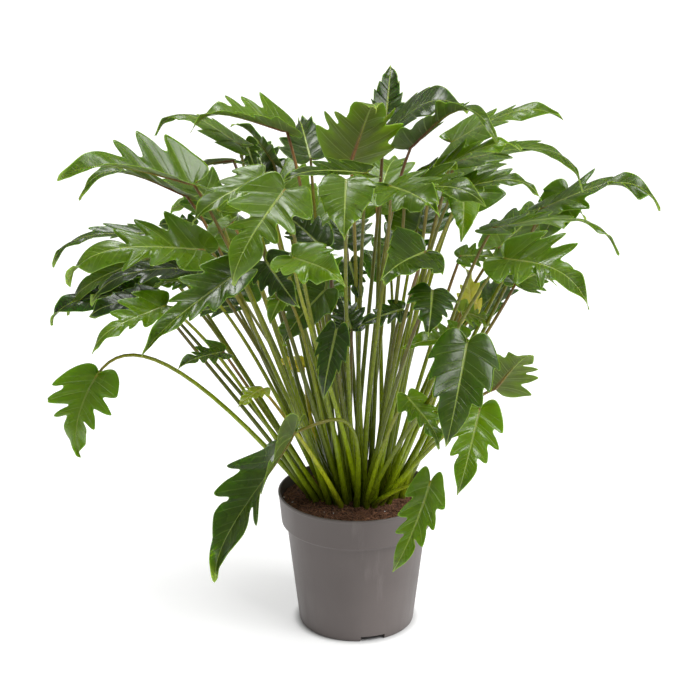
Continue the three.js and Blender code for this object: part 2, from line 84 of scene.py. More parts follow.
CROWN_HALF_WIDTH = 0.058
CROWN_HALF_DEPTH = 0.032
CROWN_SQUASH = 0.7
CROWN_SHIFT = 0.004
FOCUS_DEPTH = 0.085
ROOT_SCATTER = 0.014
ROOT_SPACING = 0.0096
SPACING_ROUNDS = 400
COLLAR_ABOVE_SOIL = 0.002
PETIOLE_BASE = 0.0031
PETIOLE_TOP = 0.0016
PETIOLE_SWAY = 0.07
PETIOLE_LOW = {"share": 0.35, "rise": 0.04, "salt": 60}
PETIOLE_HIGH = {"share": 0.75, "rise": 0.06, "salt": 62}
ARCH_AT_SEAT = 2
ARCH_TO_TIP = 3.4
HOOK_POWER = 5
OUTWARD_TILT = 0.35
CROWN_FLATNESS = 0.85

STEP_HEIGHT = POT_HEIGHT - COLLAR_DEPTH
BASE_TOP = BASE_LIFT + POT_WALL

UP = np.array([0.0, 0.0, 1.0])
FRONT = np.array([0.0, -1.0, 0.0])

USUAL = {
    "width": 0.85,    # share of the full width
    "fold": 0.2,      # how far both halves rise from the midrib, in radians
    "droop": 0.3,     # how far the margins bend down
    "sag": 0.1,       # how far the midrib arches, as a share of the length
    "lean": 0.45,     # how far the upper side turns to the front
    "roll": 0.0,      # how far the blade turns about its midrib, in radians
    "turn": 0.0,      # how far the cross-section turns on, from the seat to the tip, in radians
    "bow": 0.0,       # how far the midrib curves sideways
    "bend": None,     # two points that an arching petiole is drawn towards
    "twin": False,    # grows from the same root as the leaf before it
    "hook": 0.25,     # how far the tip curls down
    "wave": 1.0,      # how wavy the margins are
    "cut": 1.0,       # how deep the notches between the lobes are
    "tone": 0.0,      # -1 is the darkest green, 1 the freshest
    "yellow": 0.0,    # 1 is a leaf that has turned yellow
    "ruddy": 0.5,     # how red the petiole's upper end is
}


def leaf(seat, tip, **traits):
    return {**USUAL, "seat": np.array(seat), "tip": np.array(tip), **traits}


# Each leaf: where its petiole joins the blade, and the blade's tip, read as in the part's source.
LEAVES = [
    # left, from the top down
    leaf((-0.135, 0.040, 0.586), (-0.237, 0.065, 0.591),
         width=0.65, fold=0.1, sag=0.25, lean=-0.05, cut=0.5, hook=0.9, tone=-0.3),
    leaf((-0.131, 0.080, 0.581), (-0.118, 0.070, 0.546), width=0.9, tone=-0.2, twin=True),
    leaf((-0.178, -0.112, 0.579), (-0.320, -0.157, 0.595),
         width=0.8, fold=0.55, droop=0, sag=0.12, lean=0.2, cut=1.2, hook=0.3, wave=0.5, tone=0.15),
    leaf((-0.194, -0.025, 0.543), (-0.313, -0.050, 0.546),
         width=0.55, fold=0.3, sag=0.22, lean=-0.1, hook=0.8, wave=1.5, tone=-0.3, ruddy=1),
    leaf((-0.140, -0.068, 0.524), (-0.166, -0.098, 0.499), width=0.9, fold=0.6, roll=0.3, cut=0, tone=0.3),
    leaf((-0.194, 0.060, 0.483), (-0.237, 0.075, 0.479), roll=-0.3, tone=-0.2),
    leaf((-0.141, 0.000, 0.578), (-0.193, 0.020, 0.554),
         width=0.9, lean=-0.7, cut=0.3, tone=-0.6, ruddy=0.8, twin=True),
    leaf((-0.236, 0.000, 0.492), (-0.351, -0.020, 0.457),
         width=0.45, sag=0.16, lean=0.15, hook=0.7, tone=-0.1),
    leaf((-0.169, -0.120, 0.507), (-0.317, -0.150, 0.478), width=0.65, sag=0.2, lean=0.4, hook=0.5, wave=1.7),
    leaf((-0.173, -0.070, 0.471), (-0.297, -0.110, 0.441),
         width=0.6, sag=0.16, lean=0.25, hook=0.4, tone=-0.8),
    leaf((-0.228, -0.080, 0.439), (-0.301, -0.100, 0.422), lean=0.7, roll=0.25, cut=0.3, tone=-0.9),
    leaf((-0.237, -0.020, 0.427), (-0.352, -0.050, 0.396),
         width=0.7, sag=0.14, lean=0.5, cut=0.7, hook=1, tone=-0.7),
    leaf((-0.240, -0.006, 0.463), (-0.334, -0.042, 0.405),
         width=0.6, sag=0.16, lean=0.6, hook=0.5, tone=-0.2, twin=True),
    leaf((-0.211, -0.130, 0.446), (-0.288, -0.180, 0.407), width=0.7, sag=0.14, lean=0.6, hook=0.8, tone=0.7),
    leaf((-0.126, -0.200, 0.506), (-0.225, -0.265, 0.434),
         width=0.52, fold=0.45, lean=0.8, cut=0.9, hook=0.2),
    leaf((-0.140, -0.020, 0.410), (-0.214, -0.035, 0.391), width=0.6, tone=-0.5),
    leaf((-0.182, -0.040, 0.446), (-0.234, -0.050, 0.441), tone=0.6, twin=True),
    leaf((-0.149, -0.120, 0.388), (-0.199, -0.150, 0.377), width=0.9, lean=0.8, roll=0.3, cut=1.2, tone=-0.1),
    leaf((-0.064, 0.032, 0.315), (-0.098, 0.047, 0.316), width=0.9, cut=0.3, tone=0.9, yellow=1, twin=True),
    leaf((-0.106, -0.120, 0.344), (-0.132, -0.150, 0.333), tone=0.9, yellow=0.3),
    leaf((-0.300, -0.060, 0.338), (-0.319, -0.085, 0.246),
         width=1.15, fold=0.4, lean=2.5, roll=0.3, bow=-0.08, cut=1.1, hook=0.3, tone=1,
         bend=((-0.200, -0.050, 0.365), (-0.265, -0.060, 0.392))),
    leaf((-0.070, -0.150, 0.303), (-0.160, -0.195, 0.140),
         width=0.78, lean=0.8, roll=1.5, turn=-1.7, bow=-0.22, cut=1.1, hook=0.3,
         bend=((0.010, -0.110, 0.330), (-0.020, -0.150, 0.325))),
    # middle, from the top down
    leaf((0.035, 0.100, 0.609), (0.041, 0.150, 0.658), width=0.65, cut=0.3, tone=-0.5),
    leaf((-0.080, 0.010, 0.609), (-0.189, -0.015, 0.612),
         width=1.15, fold=0.4, droop=0, sag=0.16, lean=0.2, hook=1.1, tone=0.2, ruddy=1),
    leaf((-0.007, -0.020, 0.580), (0.020, -0.105, 0.662),
         width=1, fold=0.4, droop=0.1, lean=-0.5, roll=-0.35, cut=0.7, hook=1, tone=0.6, yellow=0.05,
         ruddy=1),
    leaf((-0.008, 0.000, 0.457), (0.006, -0.022, 0.414), tone=-0.6, twin=True),
    leaf((0.030, 0.050, 0.592), (0.128, 0.015, 0.631),
         width=1.2, sag=0.22, lean=0.55, cut=0.4, hook=0.4, tone=-0.3),
    leaf((0.061, -0.006, 0.594), (0.156, -0.080, 0.614),
         fold=0.35, droop=0.1, sag=0.32, lean=0.25, hook=0.9, tone=-0.3, ruddy=1),
    leaf((0.034, 0.080, 0.433), (0.050, 0.130, 0.448), width=1, tone=-0.4, twin=True),
    leaf((0.010, -0.080, 0.583), (-0.085, -0.135, 0.585), width=0.5, lean=0.05, tone=-0.2),
    leaf((-0.030, -0.010, 0.453), (-0.062, -0.030, 0.420), cut=0.6, tone=-0.8, twin=True),
    leaf((-0.104, -0.110, 0.587), (-0.178, -0.150, 0.543), width=0.7, hook=0.5, tone=-0.1),
    leaf((-0.036, -0.076, 0.447), (-0.084, -0.085, 0.383),
         width=0.9, cut=0.5, wave=1.5, tone=-0.4, twin=True),
    leaf((-0.076, -0.212, 0.599), (-0.129, -0.272, 0.515),
         width=0.9, sag=0.14, lean=0.6, cut=1.1, hook=0.2, tone=0.15),
    leaf((-0.012, -0.190, 0.604), (-0.014, -0.247, 0.555), width=1, lean=0.6, cut=0.1, tone=-0.2),
    leaf((-0.023, -0.140, 0.421), (-0.037, -0.160, 0.346), width=0.6, cut=0.5, tone=-0.7, twin=True),
    leaf((0.035, -0.142, 0.585), (0.085, -0.222, 0.573), width=1.1, lean=0.6, cut=0.9, wave=1.6),
    leaf((0.053, -0.064, 0.563), (0.137, -0.165, 0.569), width=0.75, lean=0.7, hook=0.6, tone=-0.4),
    leaf((0.052, -0.050, 0.415), (0.001, -0.062, 0.397), width=0.8, tone=-0.6, twin=True),
    leaf((-0.042, -0.060, 0.495), (-0.085, 0.000, 0.512), tone=-0.7),
    leaf((-0.006, -0.056, 0.392), (-0.020, -0.006, 0.417), width=1, tone=-0.6, twin=True),
    leaf((0.073, -0.165, 0.518), (0.023, -0.235, 0.507), width=1, cut=0.15, wave=1.5, tone=-0.3),
    leaf((-0.068, -0.200, 0.522), (-0.013, -0.270, 0.514), width=0.95, cut=0.7, hook=0.5, wave=1.7, tone=0.6),
    leaf((-0.098, -0.150, 0.502), (-0.062, -0.200, 0.466), width=0.9, roll=0.25, cut=0.8, tone=-0.6),
    leaf((-0.080, -0.120, 0.460), (-0.096, -0.140, 0.426), cut=0.6, tone=0.4, twin=True),
    leaf((0.080, -0.188, 0.482), (0.074, -0.236, 0.446), width=1.1, lean=0.8, cut=0.9, tone=-0.6),
    leaf((0.082, -0.160, 0.248), (0.040, -0.172, 0.142), width=0.5, lean=0.8, bow=0.03, hook=0.9, tone=0.2),
    # behind the top, left and middle
    leaf((-0.101, 0.140, 0.541), (-0.149, 0.114, 0.594), tone=-0.3),
    leaf((-0.110, 0.140, 0.524), (-0.132, 0.210, 0.554), tone=-0.3, twin=True),
    leaf((-0.055, 0.110, 0.552), (-0.070, 0.200, 0.577), cut=0.5, tone=-0.6),
    leaf((-0.012, 0.110, 0.444), (-0.005, 0.180, 0.467), width=1.1, tone=-0.6, twin=True),
    # right, from the top down
    leaf((0.112, 0.080, 0.580), (0.239, 0.040, 0.615),
         width=0.65, fold=0.1, sag=0.16, lean=0.6, cut=0.7, hook=0.5),
    leaf((0.082, -0.040, 0.573), (0.180, -0.090, 0.613), width=0.6, lean=0.3, hook=0.5, tone=0.6),
    leaf((0.114, -0.008, 0.579), (0.257, -0.025, 0.546),
         width=0.5, fold=0.1, sag=0.24, lean=0, cut=0.5, hook=0.7, tone=-0.2, ruddy=1),
    leaf((0.108, -0.076, 0.563), (0.202, -0.106, 0.559), width=0.6, sag=0.2, lean=0.3, hook=1, tone=-0.4),
    leaf((0.116, -0.110, 0.569), (0.112, -0.150, 0.524), width=0.75, cut=0.05, tone=0.9),
    leaf((0.214, 0.020, 0.515), (0.350, -0.005, 0.518), width=0.62, sag=0.24, lean=0.35, hook=0.9, wave=1.5),
    leaf((0.123, 0.000, 0.396), (0.158, 0.020, 0.370), width=1.1, tone=0.8, yellow=0.1, twin=True),
    leaf((0.248, 0.050, 0.530), (0.218, 0.045, 0.469), width=0.95, cut=0.2, tone=0.2),
    leaf((0.153, -0.060, 0.515), (0.291, -0.100, 0.496),
         width=0.5, fold=0.1, sag=0.19, lean=0, hook=0.6, tone=-0.2),
    leaf((0.162, -0.120, 0.497), (0.250, -0.180, 0.458), width=1, sag=0.25, lean=0.6, cut=1.1, hook=0.3),
    leaf((0.125, -0.068, 0.386), (0.049, -0.104, 0.385), width=0.8, fold=0.3, cut=1.1, tone=0.5, twin=True),
    leaf((0.182, -0.035, 0.441), (0.222, 0.030, 0.430), tone=-0.3),
    leaf((0.122, 0.020, 0.458), (0.169, 0.030, 0.448), width=1, tone=0.2),
    leaf((0.136, 0.045, 0.382), (0.127, 0.060, 0.436), width=1, wave=2, tone=1, yellow=0.8),
    leaf((0.116, -0.224, 0.435), (0.093, -0.272, 0.335), lean=0.6, cut=0.5, hook=0.2, tone=-0.3),
    leaf((0.056, -0.150, 0.345), (0.091, -0.185, 0.298), width=0.95, roll=-0.4, tone=0.2, twin=True),
    leaf((0.151, -0.180, 0.367), (0.186, -0.225, 0.421), width=1.1, lean=-1.2, tone=0.2, ruddy=0.7),
    leaf((0.133, -0.202, 0.353), (0.108, -0.240, 0.266), width=0.75, lean=0.65, hook=0.3, tone=0.6),
]

# Tiers of leaves round the back: bearings in degrees, counted from the right, and lengths.
BACK_TIERS = [
    {"count": 4, "from": 45, "to": 135, "reach": 0.195, "height": 0.360, "blade": 0.125, "stagger": 0.030},
    {"count": 8, "from": 36, "to": 147, "reach": 0.205, "height": 0.445, "blade": 0.125, "stagger": 0.045},
]
BACK_RISE = 0.025
BACK_SHAPE = {"width": 1.05, "cut": 0.8, "sag": 0.22, "lean": 0}
TIER_STRIDE = 10
BEARING_SCATTER = 5
HEADING_SCATTER = 0.25
PLACE_SCATTER = 0.012

# which draw of the scatter each feature takes
SALTS = {
    "bearing": 1, "heading": 2, "reach": 3, "height": 4,
    "end_along": 0, "end_across": 5, "notch_across": 10, "notch_along": 15, "back_lobe": 20, "end_lobe": 25,
    "lobe_lift": 30, "notch_width": 40, "twist": 44,
    "tone": 50, "ruddy": 51, "fold": 52, "droop": 53, "cut": 54,
    "root_x": 84, "root_y": 85,
}


def scatter(index, salt):
    """A value between -1 and 1 that looks irregular and is the same every time."""
    value = math.sin(index * 12.9898 + salt * 78.233) * 43758.5453
    return 2 * (value - math.floor(value)) - 1


def vary(index, feature, step=0):
    """The scatter of a named feature; step tells apart the lobes and halves of one leaf."""
    return scatter(index, SALTS[feature] + step)


def back_leaves():
    """The leaves of the back tiers, as entries like those listed."""
    leaves = []
    for t, tier in enumerate(BACK_TIERS):
        for i in range(tier["count"]):
            entry = i + TIER_STRIDE * t
            even = tier["from"] + (tier["to"] - tier["from"]) * i / (tier["count"] - 1)
            bearing = math.radians(even + BEARING_SCATTER * vary(entry, "bearing"))
            heading = bearing + HEADING_SCATTER * vary(entry, "heading")
            reach = tier["reach"] + PLACE_SCATTER * vary(entry, "reach")
            height = tier["height"] + tier["stagger"] * (i % 2) + PLACE_SCATTER * vary(entry, "height")
            seat = np.array([reach * math.cos(bearing), CROWN_FLATNESS * reach * math.sin(bearing), height])
            run = tier["blade"] * np.array([math.cos(heading), CROWN_FLATNESS * math.sin(heading), 0])
            leaves.append(leaf(seat, seat + run + BACK_RISE * UP, **BACK_SHAPE, twin=i % 2 == 1))
    return leaves


def unit(vector):
    return vector / np.linalg.norm(vector)


def polar(radius, angle):
    return radius * math.cos(angle), radius * math.sin(angle)


def stand(name, data):
    """An object made of a mesh, light or camera, put in the scene."""
    made = bpy.data.objects.new(name, data)
    bpy.context.scene.collection.objects.link(made)
    return made


# ---- the form of a blade ----
LEAF_VALUES = ["tone", "yellow", "ruddy"]


class Blade:
    """The fixed frame of a blade, and the points of its middle surface."""

    def __init__(self, traits):
        self.traits = traits
        self.values = {name: traits[name] for name in LEAF_VALUES}
        self.seat = traits["seat"]
        chord = traits["tip"] - self.seat
        self.length = np.linalg.norm(chord)
        self.along = chord / self.length
        outward = unit(self.seat * [1, 1, 0])
        face = UP + OUTWARD_TILT * outward + traits["lean"] * FRONT
        face = unit(face - self.along * face.dot(self.along))
        roll = traits["roll"]
        self.face = face * math.cos(roll) + np.cross(self.along, face) * math.sin(roll)
        self.across = np.cross(self.face, self.along)

    def upward(self, along):
        """The upper side's direction at places on the midrib."""
        turn = self.traits["turn"] * np.asarray(along)
        return np.multiply.outer(np.cos(turn), self.face) - np.multiply.outer(np.sin(turn), self.across)

    def points(self, along, across, relief=0.0):
        """along, across and relief are shares of the length, and may be arrays."""
        t = self.traits
        turn = t["turn"] * along
        level = across * math.cos(t["fold"])
        raised = np.abs(across) * math.sin(t["fold"]) - t["droop"] * across**2 + relief
        rise = t["sag"] * along * (1 - along) * (ARCH_AT_SEAT + ARCH_TO_TIP * along)
        rise = rise + t["hook"] * along**HOOK_POWER * (1 - along)
        lift = rise + level * np.sin(turn) + raised * np.cos(turn)
        aside = t["bow"] * 4 * along * (1 - along) + level * np.cos(turn) - raised * np.sin(turn)
        steps = [(along, self.along), (aside, self.across), (lift, self.face)]
        way = sum(np.multiply.outer(np.asarray(share), axis) for share, axis in steps)
        return np.clip(self.seat + self.length * way, LEAST, MOST)


# Lobes of half a leaf: a lobe's end and the notch after it. Each is how far along, how far across, and how
# far across where the leaf has no notches.
LOBES = [
    ((0.20, 0.42, 0.42), (0.22, 0.28, 0.41)),
    ((0.41, 0.40, 0.36), (0.40, 0.21, 0.36)),
    ((0.58, 0.30, 0.26), (0.56, 0.14, 0.26)),
]
# The lobe behind the seat and the lobe at the tip: how far along and how far across. A vein's number grows
# from the seat to the tip, and is whole on a main vein.
BACK_LOBE = [(0.0, 0.0), (-0.055, 0.035), (-0.108, 0.100), (-0.125, 0.175), (-0.085, 0.250), (-0.010, 0.315)]
BACK_VEIN = 0.5
BACK_VEIN_SPAN = 1.1
END_LOBE = [
    (0.615, 0.160), (0.685, 0.172), (0.765, 0.145), (0.85, 0.094), (0.92, 0.044), (0.965, 0.018), (1, 0),
]
END_LOBE_UNCUT = [0.235, 0.205, 0.155, 0.098, 0.046, 0.019, 0]
END_VEINS = [4.66, 5.0, 5.6, 6.3, 7.1, 7.8, 8.5]
# On the way out to a lobe's end: the share of the way, and how far the vein's number has grown
SHOULDERS = [(0.38, 0.64), (0.78, 0.86)]
SHOULDER = np.array([-0.004, 0.016])
# On the way in to the notch
FINGER_SHARE = 0.35
FINGER_FRONT = 0.010
NOTCH_SETBACK = 0.012
NOTCH_MOUTH = np.array([-0.004, 0.012])
NOTCH_WIDTH_SHARE = np.array([0.030, 0.004])
NOTCH_VEINS = [0.2, 0.42, 0.54]
# How far lobes and notches of one leaf differ
LOBE_SCATTER = 0.08
END_LOBE_SCATTER = 0.10
END_SHIFT = 0.025
CUT_SCATTER = 0.25
NOTCH_SHIFT = 0.020
NOTCH_WIDTH_SCATTER = 0.5
# How far a lateral vein runs forward for its reach, and the least that its foot moves on along the midrib
VEIN_SLANT = 0.2
VEIN_SLANT_TO_TIP = 0.85
FOOT_CREEP = 0.03
SPAN_STEPS = 4
ROWS = np.array([0.04, 0.14, 0.3, 0.5, 0.68, 0.82, 0.93, 1.0])
BLADE_THICKNESS = 0.0005
EDGE_THICKNESS = 0.00025
RAY_CURL = 0.25
VEIN_KNOTS = 10
LIFT_OF_LOBES = 0.085
LIFT_POWER = 2.2
LIFT_PER_WIDTH = 2.6
TWIST_OF_TIP = 0.5
TWIST_START = 0.9
TWIST_POWER = 1.5
QUILTING = 0.0065
QUILTING_END = 1.2
TINY = 1e-12


def smooth(points, steps):
    """A curve that passes through all the points, with the given steps between each two."""
    p = np.vstack([2 * points[0] - points[1], points, 2 * points[-1] - points[-2]])
    out = []
    for i in range(1, len(p) - 2):
        for k in range(steps):
            u = k / steps
            a = 2 * p[i] + (p[i + 1] - p[i - 1]) * u
            b = (2 * p[i - 1] - 5 * p[i] + 4 * p[i + 1] - p[i + 2]) * u * u
            c = (3 * p[i] - p[i - 1] - 3 * p[i + 1] + p[i + 2]) * u**3
            out.append((a + b + c) / 2)
    out.append(points[-1])
    return np.array(out)


def half_outline(traits, number, side):
    """Columns: along, across, foot of the lateral vein on the midrib, and the vein's number."""
    def draw(feature, step=0):
        return vary(3 * number + side, feature, step)

    def between(uncut, deep, share):
        return uncut + (deep - uncut) * share

    cut = traits["cut"]
    lobed = min(1, cut)
    rows = []
    for k, (along, across) in enumerate(BACK_LOBE):
        across *= 1 + LOBE_SCATTER * draw("back_lobe")
        rows.append((along, across, BACK_VEIN + BACK_VEIN_SPAN * k / (len(BACK_LOBE) - 1)))
    for k, (end, notch) in enumerate(LOBES):
        before = np.array(rows[-1][:2])
        across = between(end[2], end[1], lobed) * (1 + LOBE_SCATTER * draw("end_across", k))
        end = np.array([end[0] + END_SHIFT * draw("end_along", k), across])
        across = between(notch[2], notch[1], cut * (1 + CUT_SCATTER * draw("notch_across", k)))
        along = notch[0] - NOTCH_SETBACK + NOTCH_SHIFT * draw("notch_along", k)
        notch = np.array([along, across])
        for share, vein in SHOULDERS:
            rows.append((*(before + share * (end - before) + SHOULDER * lobed), k + 1 + vein))
        rows.append((*end, k + 2))
        finger = end + FINGER_SHARE * (notch - end) + [FINGER_FRONT * lobed, 0]
        width = NOTCH_WIDTH_SHARE * (1 + NOTCH_WIDTH_SCATTER * draw("notch_width", k))
        for point, vein in zip((finger, notch + NOTCH_MOUTH, notch + width), NOTCH_VEINS):
            rows.append((*point, k + 2 + vein))
    for (along, across), uncut, vein in zip(END_LOBE, END_LOBE_UNCUT, END_VEINS):
        across = between(uncut, across, lobed) * (1 + END_LOBE_SCATTER * draw("end_lobe"))
        rows.append((along, across, vein))
    along, across, vein = smooth(np.array(rows), SPAN_STEPS).T
    across = np.maximum(across, 0)
    foot = along - (VEIN_SLANT + VEIN_SLANT_TO_TIP * np.clip(along, 0, 1)) * across
    foot = np.maximum.accumulate(np.maximum(foot, 0)) + np.linspace(0, FOOT_CREEP, len(foot))
    foot[-1] = 1 + FOOT_CREEP
    return np.stack([along, across * traits["width"], foot / (1 + FOOT_CREEP), vein], axis=1)


VALUES = ["along", "from_midrib", "to_margin", "vein", "under", *LEAF_VALUES]


class Surface:
    """Vertices, faces and vertex values, gathered for one mesh."""

    def __init__(self):
        self.points = []
        self.faces = []
        self.slots = []
        self.values = {name: [] for name in VALUES}
        self.count = 0

    def add(self, points, faces, slot=0, **values):
        self.points.append(points)
        self.faces.extend(tuple(i + self.count for i in face) for face in faces)
        self.slots.extend([slot] * len(faces))
        for name in VALUES:
            self.values[name].append(np.broadcast_to(values.get(name, 0.0), len(points)))
        self.count += len(points)

    def build(self, name, materials):
        mesh = bpy.data.meshes.new(name)
        mesh.from_pydata(np.concatenate(self.points).tolist(), [], self.faces)
        for material in materials:
            mesh.materials.append(material)
        mesh.polygons.foreach_set("material_index", self.slots)
        mesh.polygons.foreach_set("use_smooth", [True] * len(self.faces))
        for key, parts in self.values.items():
            data = np.concatenate(parts).astype(np.float32)
            if data.any():
                mesh.attributes.new(key, "FLOAT", "POINT").data.foreach_set("value", data)
        mesh.update()
        return stand(name, mesh)


def add_blade(surface, blade, number):
    """A lobed blade: rays run from the midrib out to the margin along its lateral veins, on both halves."""
    traits = blade.traits
    left, right = (half_outline(traits, number, side) for side in (1, 2))
    foot = (left[:, 2] + right[:, 2])[1:-1] / 2
    shares = np.concatenate([ROWS[::-1], [0], -ROWS])
    outline = np.stack([left[1:-1] if s >= 0 else right[1:-1] for s in shares], axis=1)
    s = np.abs(shares)
    curl = (1 - RAY_CURL) * s + RAY_CURL * s * s
    along = foot[:, None] + (outline[:, :, 0] - foot[:, None]) * curl
    across = np.sign(shares) * s * outline[:, :, 1]
    vein = outline[:, :, 3]
    knots = np.arange(VEIN_KNOTS)
    lifts = [[vary(VEIN_KNOTS * number + k, "lobe_lift", side) for k in knots] for side in (0, 1)]
    lobe_lift = np.where(shares > 0, np.interp(vein, knots, lifts[0]), np.interp(vein, knots, lifts[1]))
    ripple = traits["wave"] * LIFT_OF_LOBES * lobe_lift * s**LIFT_POWER
    ripple *= np.clip(across.max() * LIFT_PER_WIDTH, 0, 1)
    twist = TWIST_OF_TIP * traits["wave"] * vary(number, "twist") * across
    twist *= np.clip(2 * along - TWIST_START, 0, 1)**TWIST_POWER
    swell = -QUILTING * np.cos(2 * math.pi * vein) * 4 * s * (1 - s) * np.clip(QUILTING_END - along, 0, 1)
    middle = blade.points(along, across, swell + ripple + twist)
    run = np.gradient(middle, axis=0)
    turn = np.gradient(middle, axis=1)
    normal = np.cross(run, turn)
    normal /= np.maximum(np.linalg.norm(normal, axis=2, keepdims=True), TINY)
    normal *= np.sign(np.sum(normal * blade.upward(along), axis=2))[:, :, None]
    reach = np.hypot(outline[:, :, 0] - foot[:, None], outline[:, :, 1]) * blade.length
    values = {
        "along": along,
        "from_midrib": np.abs(across) * blade.length,
        "to_margin": (1 - s) * reach,
        "vein": vein,
    }
    half = (BLADE_THICKNESS + (EDGE_THICKNESS - BLADE_THICKNESS) * s**2)[None, :, None] / 2
    rays, columns = along.shape
    ends = blade.points(np.array([0.0, 1.0]), np.zeros(2))
    index = np.arange(rays * columns).reshape(rays, columns)
    seat, tip = rays * columns, rays * columns + 1
    a, b, c, d = index[:-1, :-1], index[1:, :-1], index[1:, 1:], index[:-1, 1:]
    quads = np.stack([a, b, c, d], axis=-1).reshape(-1, 4).tolist()
    fans = [(seat, index[0, k], index[0, k + 1]) for k in range(columns - 1)]
    fans += [(tip, index[-1, k + 1], index[-1, k]) for k in range(columns - 1)]
    faces = quads + fans
    rim = [seat, *index[:, 0], tip, *index[::-1, -1]]
    size = rays * columns + 2
    for under in (0, 1):
        offset = half * normal * (1 - 2 * under)
        points = np.concatenate([(middle + offset).reshape(-1, 3), ends])
        # at the seat and the tip both faces meet in a short edge
        points[-2:] += blade.upward([0, 1]) * EDGE_THICKNESS / 2 * (1 - 2 * under)
        extended = {k: np.concatenate([v.ravel(), [v.ravel()[0], v.ravel()[-1]]]) for k, v in values.items()}
        sheet = faces if under else [tuple(reversed(f)) for f in faces]
        surface.add(points, sheet, 0, under=float(under), **extended, **blade.values)
    first = surface.count - 2 * size
    pairs = zip(rim, rim[1:] + rim[:1])
    band = [(first + p, first + q, first + size + q, first + size + p) for p, q in pairs]
    surface.faces.extend(band)
    surface.slots.extend([0] * len(band))


# ---- petioles ----
def root_places(leaves):
    """Roots lie where the line from a point under the crown to the leaf meets the soil, then move apart."""
    roots = []
    for traits in leaves:
        if traits["twin"]:
            continue
        aim = traits["bend"][1] if traits["bend"] else traits["seat"]
        share = FOCUS_DEPTH / (aim[2] - SOIL_TOP + FOCUS_DEPTH)
        x = aim[0] * share + ROOT_SCATTER * vary(traits["number"], "root_x")
        y = CROWN_SQUASH * (aim[1] * share + ROOT_SCATTER * vary(traits["number"], "root_y"))
        reach = max(1, math.hypot(x / CROWN_HALF_WIDTH, y / CROWN_HALF_DEPTH))
        roots.append([x / reach, y / reach + CROWN_SHIFT])
    for _ in range(SPACING_ROUNDS):
        for i, a in enumerate(roots):
            for b in roots[i + 1:]:
                dx, dy = b[0] - a[0], b[1] - a[1]
                apart = math.hypot(dx, dy)
                if apart >= ROOT_SPACING:
                    continue
                push = (ROOT_SPACING - apart) / 2 / apart
                a[0] -= dx * push
                a[1] -= dy * push
                b[0] += dx * push
                b[1] += dy * push
    return roots


def petiole_points(traits, root, shares):
    """Points on the petiole's curve from its root in the soil to the blade's seat."""
    start = np.array([*root, SOIL_TOP + COLLAR_ABOVE_SOIL])
    seat = traits["seat"]
    span = seat - start
    length = np.linalg.norm(span)

    def towards(share, rise, salt):
        sway = np.array([scatter(traits["number"], salt), scatter(traits["number"], salt + 1), 0])
        return start + share * span + rise * length * UP + PETIOLE_SWAY * share * length * sway

    if traits["bend"]:
        low, high = (np.array(point) for point in traits["bend"])
    else:
        low, high = towards(**PETIOLE_LOW), towards(**PETIOLE_HIGH)
    u = shares[:, None]
    return (1 - u)**3 * start + 3 * (1 - u)**2 * u * low + 3 * (1 - u) * u**2 * high + u**3 * seat


TUBE_SIDES = 8
PETIOLE_STEPS = 16
MIDRIB_STEPS = 9
MIDRIB_START = 0.05
MIDRIB_END = 0.93
MIDRIB_SHARE = 0.8
MIDRIB_TIP = 0.0002
MIDRIB_SINK = 0.75
SHEATH_END = 0.22
SHEATH_SWELL = 0.3
SHEATH_POWER = 1.5
ROOT_DIP = 0.012


def tube(centres, radii, sides):
    """Points and faces of a round tube, closed at both ends."""
    tangents = np.gradient(centres, axis=0)
    side = np.array([1.0, 0.0, 0.0])
    points = []
    for centre, tangent, radius in zip(centres, tangents, radii):
        tangent = unit(tangent)
        side = unit(side - tangent * side.dot(tangent))
        other = np.cross(tangent, side)
        for k in range(sides):
            angle = 2 * math.pi * k / sides
            points.append(centre + radius * (math.cos(angle) * side + math.sin(angle) * other))
    faces = []
    for i in range(len(centres) - 1):
        for k in range(sides):
            a, b = i * sides + k, i * sides + (k + 1) % sides
            faces.append((a, b, b + sides, a + sides))
    faces.append(tuple(range(sides))[::-1])
    faces.append(tuple(range(len(points) - sides, len(points))))
    return np.array(points), faces


def add_petiole(surface, blade, root):
    """A stalk from under the soil to the blade, which runs on as the rib on the blade's underside."""
    shares = np.linspace(0, 1, PETIOLE_STEPS + 1)
    stalk = petiole_points(blade.traits, root, shares)
    buried = stalk[0] - ROOT_DIP * UP
    ribs = np.linspace(MIDRIB_START, MIDRIB_END, MIDRIB_STEPS)
    thin = np.interp(ribs, [0, 1], [PETIOLE_TOP * MIDRIB_SHARE, MIDRIB_TIP])
    rib = blade.points(ribs, np.zeros(MIDRIB_STEPS)) - blade.upward(ribs) * (thin * MIDRIB_SINK)[:, None]
    centres = np.vstack([buried, stalk, rib])
    sheath = 1 + SHEATH_SWELL * np.clip(1 - shares / SHEATH_END, 0, 1)**SHEATH_POWER
    radii = np.interp(shares, [0, 1], [PETIOLE_BASE, PETIOLE_TOP]) * sheath
    radii = np.concatenate([[radii[0]], radii, thin])
    points, faces = tube(centres, radii, TUBE_SIDES)
    along = np.concatenate([[0], shares, 1 + ribs])
    surface.add(points, faces, 1, along=np.repeat(along, TUBE_SIDES), **blade.values)


